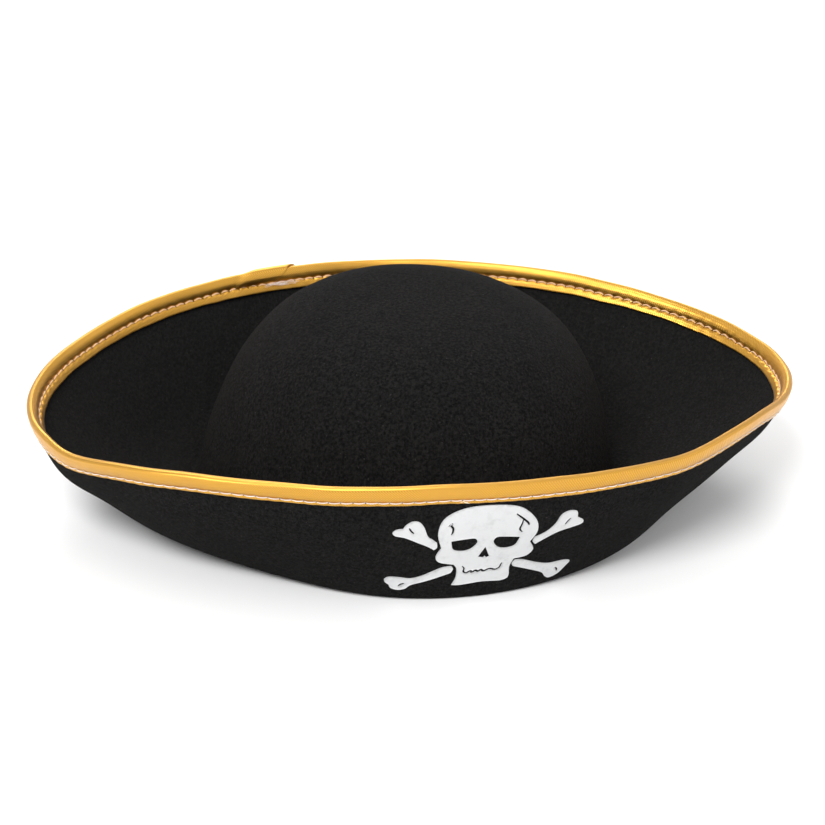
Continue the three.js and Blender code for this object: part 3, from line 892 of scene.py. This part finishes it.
# For each bone: a corner to start from, the smooth stretches from corner to corner, and its notch.
BONES = {
    "upper_right": (
        [(20.6, 5)],
        [(25, 7.4), (28.3, 11.5), (30.2, 16.6), (33.6, 18.4), (37, 17.4), (38, 13.8)],
        [(41, 11.5), (40.8, 9.2), (37, 8), (30.8, 6.3), (25.5, 3.2), (21.6, 0.4)],
        [(20.1, 2.6), (20.6, 5)],
        [(34.9, 13.8), (33.8, 12.2), (33, 10.3)],
    ),
    "upper_left": (
        [(-21.2, 5.8)],
        [(-23.2, 7.6), (-25.4, 9.6), (-27.6, 15), (-29.8, 17.8), (-32.4, 18.2), (-34.8, 16.4), (-35.8, 14.2)],
        [(-38, 13.9), (-39.7, 12.2), (-38.6, 10.2), (-34.5, 9), (-29, 6), (-25, 3.8), (-21.9, 1.6)],
        [(-20.8, 3), (-21.2, 5.8)],
        [(-33.4, 14.6), (-32.4, 12.8), (-31.2, 11.4)],
    ),
    "lower_right": (
        [(14.3, -8.3)],
        [(18, -9), (24.5, -12.4), (30.5, -14.8), (37.5, -15.2), (41, -17), (39.5, -20.2)],
        [(36.8, -24.4), (33, -25.8), (30.4, -23.6), (28, -20), (21, -15.8), (13.9, -12.2)],
        [(13.2, -10.2), (14.3, -8.3)],
        [(34.4, -19.3), (35.4, -20.5), (35.7, -22.2)],
    ),
    "lower_left": (
        [(-13.0, -8.5)],
        [(-17, -9.2), (-21, -11.4), (-25.5, -14.2), (-29.5, -15.6), (-34, -15.2), (-38.2, -15.4),
         (-39.8, -17.2)],
        [(-39.2, -19), (-37.6, -20.4)],
        [(-36.4, -22.6), (-33.6, -23.4), (-30.6, -22.2), (-28.4, -19.6), (-22, -16.8), (-12.8, -12.6)],
        [(-12.1, -10.4), (-13.0, -8.5)],
        [(-33.6, -20.8), (-32.6, -19.6), (-31.4, -18.8)],
    ),
}


def inside(p, shape):
    """True for the points of p within a closed outline."""
    a, b = shape, np.roll(shape, -1, axis=0)
    x, y = p[:, 0, None], p[:, 1, None]
    spans = (a[:, 1] > y) != (b[:, 1] > y)
    step = np.where(np.abs(b[:, 1] - a[:, 1]) < 1e-12, 1e-12, b[:, 1] - a[:, 1])
    return (spans & (x < a[:, 0] + (y - a[:, 1]) * (b[:, 0] - a[:, 0]) / step)).sum(1) % 2 == 1


def filled(shape, holes, spacing=1.1):
    """Triangles that fill an outline around its holes."""
    loops = [shape, *holes]
    low, high = shape.min(0), shape.max(0)
    xs, ys = (np.arange(low[k] + spacing / 2, high[k], spacing) for k in (0, 1))
    dots = np.stack(np.meshgrid(xs, ys), axis=-1).reshape(-1, 2)
    dots = dots + np.random.default_rng(2).uniform(-0.2, 0.2, dots.shape)
    rings = np.concatenate(loops)
    clear = np.min(np.linalg.norm(dots[:, None] - rings[None], axis=-1), axis=1) > 0.45 * spacing
    dots = dots[inside(dots, shape) & clear]
    edges, first = [], 0
    for loop in loops:
        edges += [(first + k, first + (k + 1) % len(loop)) for k in range(len(loop))]
        first += len(loop)
    corners = [Vector(p) for p in np.concatenate([rings, dots])]
    places, _, triangles, *_ = delaunay_2d_cdt(corners, edges, [], 0, 1e-6)
    places = np.array([tuple(p) for p in places])
    triangles = np.array(triangles)
    centre = places[triangles].mean(axis=1)
    keep = inside(centre, shape)
    for hole in holes:
        keep &= ~inside(centre, hole)
    used, triangles = np.unique(triangles[keep], return_inverse=True)
    return places[used], triangles.reshape(-1, 3)


def on_front(x, y, lift):
    """Where a point of the emblem's plane lies on the brim, found by stepping the angle until x agrees."""
    drop = EMBLEM_DROP - EMBLEM_TALL * y
    angle = np.full(x.shape, -math.pi / 2)
    for _ in range(10):
        angle = angle + (EMBLEM_CENTRE_X + x - near_rim(angle, drop, lift)[..., 0]) / RIM_HALF_WIDTH
    return near_rim(angle, drop, lift)


def patch(node, shape, holes, material):
    """A film with a slightly rounded border, laid on the brim in place of a CAD node."""
    flat, triangles = filled(shape, holes)
    pairs = {(a, b) for row in triangles.tolist() for a, b in zip(row, row[1:] + row[:1])}
    border = np.array(sorted((a, b) for a, b in pairs if (b, a) not in pairs))
    height = np.full(len(flat), FILM_GAP + FILM)
    height[border.ravel()] -= FILM_EDGE
    low = on_front(*flat.T, FILM_GAP + 0 * height)
    high = on_front(*flat.T, height)
    count = len(flat)
    rims = np.stack([border[:, 1], border[:, 0], border[:, 0] + count, border[:, 1] + count], axis=-1)
    faces = [triangles + count, triangles[:, ::-1], rims]
    points = settled(np.concatenate([low, high]))
    new_piece(node.replace("patch", "film"), points, faces, material, [node])


def emblem():
    material = film_material()
    skull, holes = skull_shapes()
    patch("skull_patch", skull, holes, material)
    for place, ((start,), *stretches, notch) in BONES.items():
        width = 1.0 if place == "lower_left" else 0.8
        patch("bone_patch_" + place, outline(start, *stretches), [slit(notch, width)], material)


# ------------ sweatband

def band_lap(angle):
    """Extra inset where the band's first end lies over its last end."""
    return (BAND + 0.1) * (1 - smooth(angle - BAND_SEAM, BAND_LAP, 1.8 * BAND_LAP))


def band_surface(angle, inset, ribs):
    """Points of one skin of the band, and their lay."""
    shares = [0, 0.012, 0.035, 0.07, 0.3, 0.55, 0.8, 0.93, 0.965, 0.988, 1]
    heights = BAND_BOTTOM + BAND_HEIGHT * np.array(shares)
    edge = hump(heights, BAND_BOTTOM + 0.8, 0.5) + hump(heights, BAND_BOTTOM + BAND_HEIGHT - 0.8, 0.5)
    along = angle[:, None] * CROWN_HALF_WIDTH
    rib = ribs * (RIB_HEIGHT * np.abs(np.sin(np.pi * along / RIB_PITCH)) + 0.12 * edge)
    loose = 0.45 * smooth(heights, 14, BAND_BOTTOM + BAND_HEIGHT) * (1 + np.sin(3 * angle[:, None] + 1)) / 2
    bow = 0.25 * waves(point(along, heights[None], 0.0), 60, 41)
    bow = bow * smooth(heights, BAND_STITCH_HEIGHT, 20)
    depth = inset + band_lap(angle)[:, None] + rib + loose + BAND_EASE + bow
    return crown(angle[:, None], heights[None] + 0 * depth, depth), point(along, heights[None], 0.0)


def sweatband():
    """The ribbon round the inside of the head opening, its ends lapped."""
    turns = TURN + 0.9 * BAND_LAP
    columns = round(turns * CROWN_HALF_WIDTH / (RIB_PITCH / 4))
    angle = BAND_SEAM + np.linspace(0, turns, columns)
    face, lay = band_surface(angle, FELT + BAND_GAP + BAND, 1.0)
    back, _ = band_surface(angle, FELT + BAND_GAP, 0.0)
    points, faces = ribbon(settled(face), settled(back))
    both = np.concatenate([lay, lay[:, ::-1]], axis=1)
    piece = new_piece("grosgrain_sweatband", points, faces, ribbon_material(),
                      ["sweatband"], lay=both)


def band_stitches():
    count = round(TURN * CROWN_HALF_WIDTH / BAND_STITCH_PITCH)
    pitch = TURN / count
    starts = np.arange(count) * pitch
    radius = CROWN_HALF_WIDTH - FELT

    def paths_at(along, height, aside):
        angle = along / radius
        lap = band_lap(BAND_SEAM + (angle - BAND_SEAM) % TURN)
        inset = FELT + BAND_GAP + BAND + BAND_EASE + RIB_HEIGHT + lap + 0.18 + height
        return settled(crown(angle, BAND_STITCH_HEIGHT + aside, inset))

    points, faces = plies(paths_at, starts * radius, np.full(count, pitch * radius), 3.0, steps=11)
    material = thread_material("black_thread", (0.012, 0.012, 0.013, 1), (0.006, 0.006, 0.007, 1))
    new_piece("sweatband_stitches", points, faces, material, ["sweatband_stitching"])


# ------------ care label

def band_front(x, z):
    """Y of the sweatband's inner face at the back of the hat, clear of its ribs and waves."""
    inset = FELT + BAND_GAP + BAND + BAND_EASE + LABEL_CLEAR
    shrink = crown_shrink(z / (CROWN_HEIGHT - inset))
    across = np.sqrt(1 - (x / ((CROWN_HALF_WIDTH - inset) * shrink)) ** 2)
    return CROWN_SETBACK + (CROWN_HALF_DEPTH - inset) * shrink * across


def label_surface(x, z, thick):
    """The label lies on the band above its fold and hangs plumb below, curling a little at its free end."""
    hang = np.clip(LABEL_FOLD - z, 0, None) / LABEL_LENGTH
    curl = 1.3 * hang**3 * (x / LABEL_WIDTH * 2) ** 2
    y = band_front(x, np.maximum(z, LABEL_FOLD)) - 0.9 * hang**1.5 - curl
    y = y - 0.25 * np.sin(5 * hang + 0.09 * x) * hang
    return point(x + 0 * y, y - thick, z + 0.35 * hang**2 * np.sin(x / 9) + 0 * y)


def care_label():
    """The blank label: its tab is sewn down above the fold at the joint's height, and the rest hangs below.
    """
    x = np.linspace(-LABEL_WIDTH / 2, LABEL_WIDTH / 2, 69)[:, None]
    z = np.linspace(LABEL_FOLD + LABEL_TAB, LABEL_FOLD - LABEL_LENGTH, 58)[None]
    edge = 0.05 * hump(np.abs(x), LABEL_WIDTH / 2 - 0.4, 0.5)
    front, back = label_surface(x, z, LABEL + edge), label_surface(x, z, 0.0 * x)
    points, faces = ribbon(front, back)
    lay = point(x, z, 0.0)
    both = np.concatenate([lay, lay[:, ::-1]], axis=1)
    piece = new_piece("blank_care_label", points, faces, satin_material(), ["care_label"],
                      body=None, lay=both)
    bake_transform(piece)


def label_stitches():
    height = LABEL_FOLD + LABEL_TAB / 2
    count, pitch = 9, 3.4
    starts = (np.arange(count) - count / 2) * pitch

    def paths_at(along, rise, aside):
        z = height + aside
        return point(along, band_front(along, z) - LABEL - 0.22 - rise, z)

    points, faces = plies(paths_at, starts, np.full(count, pitch), 2.5)
    material = thread_material("label_thread", (0.74, 0.73, 0.70, 1), (0.60, 0.59, 0.56, 1))
    new_piece("label_stitches", points, faces, material, ["label_stitching"])


# ------------ floor, lights and camera, in metres

FLOOR_HALF = 6.0
FLOOR_GAP = 0.0002  # under the hat, so that the floor and the felt's flat ring don't share a plane
CAMERA_DISTANCE = 1.05
CAMERA_AZIMUTH = math.radians(16.3)
CAMERA_ELEVATION = math.radians(27.9)
CAMERA_ROLL = math.radians(3.3)
CAMERA_AIM = (0.0007, 0.0355)  # right of and above the middle of the crown's foot, in the view's plane
CAMERA_LENS = 101


def floor():
    mesh = bpy.data.meshes.new("studio_floor")
    signs = ((-1, -1), (1, -1), (1, 1), (-1, 1))
    mesh.from_pydata([(x * FLOOR_HALF, y * FLOOR_HALF, -FLOOR_GAP) for x, y in signs], [], [(0, 1, 2, 3)])
    ground = bpy.data.objects.new("studio_floor", mesh)
    bpy.context.scene.collection.objects.link(ground)
    s = Shader("studio_white", Base_Color=(0.88, 0.88, 0.88, 1), Roughness=0.8, Specular_IOR_Level=0.2)
    mesh.materials.append(s.material)
    ground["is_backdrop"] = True


def area_light(name, place, aim, size, power):
    lamp = bpy.data.lights.new(name, "AREA")
    lamp.shape = "DISK"
    lamp.size = size
    lamp.energy = power
    made = bpy.data.objects.new(name, lamp)
    made.location = place
    made.rotation_mode = "QUATERNION"
    made.rotation_quaternion = (Vector(aim) - Vector(place)).to_track_quat("-Z", "Y")
    bpy.context.scene.collection.objects.link(made)


def studio():
    floor()
    area_light("key", (-0.9, -1.1, 1.5), (0, 0, 0.05), 0.9, 34)
    area_light("fill", (1.3, -0.7, 1.0), (0, 0, 0.05), 1.2, 4)
    area_light("back", (0.2, 1.5, 1.2), (0, 0, 0.08), 1.0, 16)
    world = bpy.data.worlds.new("studio_world")
    world.use_nodes = True
    world.node_tree.nodes["Background"].inputs["Color"].default_value = (1, 1, 1, 1)
    world.node_tree.nodes["Background"].inputs["Strength"].default_value = 0.82
    bpy.context.scene.world = world
    bpy.context.scene.view_settings.view_transform = "Standard"


def camera():
    centre = Vector((0, CROWN_SETBACK * MM, 0))
    level = Vector((-math.sin(CAMERA_AZIMUTH), -math.cos(CAMERA_AZIMUTH), 0))
    back = level * math.cos(CAMERA_ELEVATION) + Vector((0, 0, math.sin(CAMERA_ELEVATION)))
    right = Vector((math.cos(CAMERA_AZIMUTH), -math.sin(CAMERA_AZIMUTH), 0))
    up = back.cross(right)
    right, up = (right * math.cos(CAMERA_ROLL) + up * math.sin(CAMERA_ROLL),
                 up * math.cos(CAMERA_ROLL) - right * math.sin(CAMERA_ROLL))
    place = centre + back * CAMERA_DISTANCE
    aim = centre + right * CAMERA_AIM[0] + up * CAMERA_AIM[1]
    ahead = (aim - place).normalized()
    side = ahead.cross(up).normalized()
    lens = bpy.data.cameras.new("camera")
    lens.lens = CAMERA_LENS
    made = bpy.data.objects.new("camera", lens)
    turned = Matrix((side, side.cross(ahead), -ahead)).transposed()
    made.matrix_world = Matrix.Translation(place) @ turned.to_4x4()
    bpy.context.scene.collection.objects.link(made)
    bpy.context.scene.camera = made


# ------------ the hat

camera()
studio()
felt, felt_outside = felt_body()
loose_fibres(felt, felt_outside, "felt_fuzz", 8000, 1.2, 0.024, (0.1, 1.1),
             fibre_material("fuzz", (0.012, 0.012, 0.012, 1), (0.05, 0.045, 0.04, 1)), 1)
loose_fibres(felt, felt_outside, "pale_lint", 190, 1.6, 0.03, (0.0, 0.25),
             fibre_material("lint", (0.25, 0.25, 0.25, 1), (0.45, 0.43, 0.40, 1)), 2, steps=7)
binding_tape()
rim_stitches("needle_stitches", 1, (0.80, 0.74, 0.70, 1), (0.62, 0.56, 0.52, 1), "binding_needle_thread")
rim_stitches("bobbin_stitches", -1, (0.86, 0.60, 0.36, 1), (0.74, 0.50, 0.28, 1), "binding_bobbin_thread")
frayed_end()
thread_tail()
emblem()
sweatband()
band_stitches()
care_label()
label_stitches()

boxes = {"cad": CAD_BOX, "visual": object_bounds()}
{name: [list(corner) for corner in box] for name, box in boxes.items()}
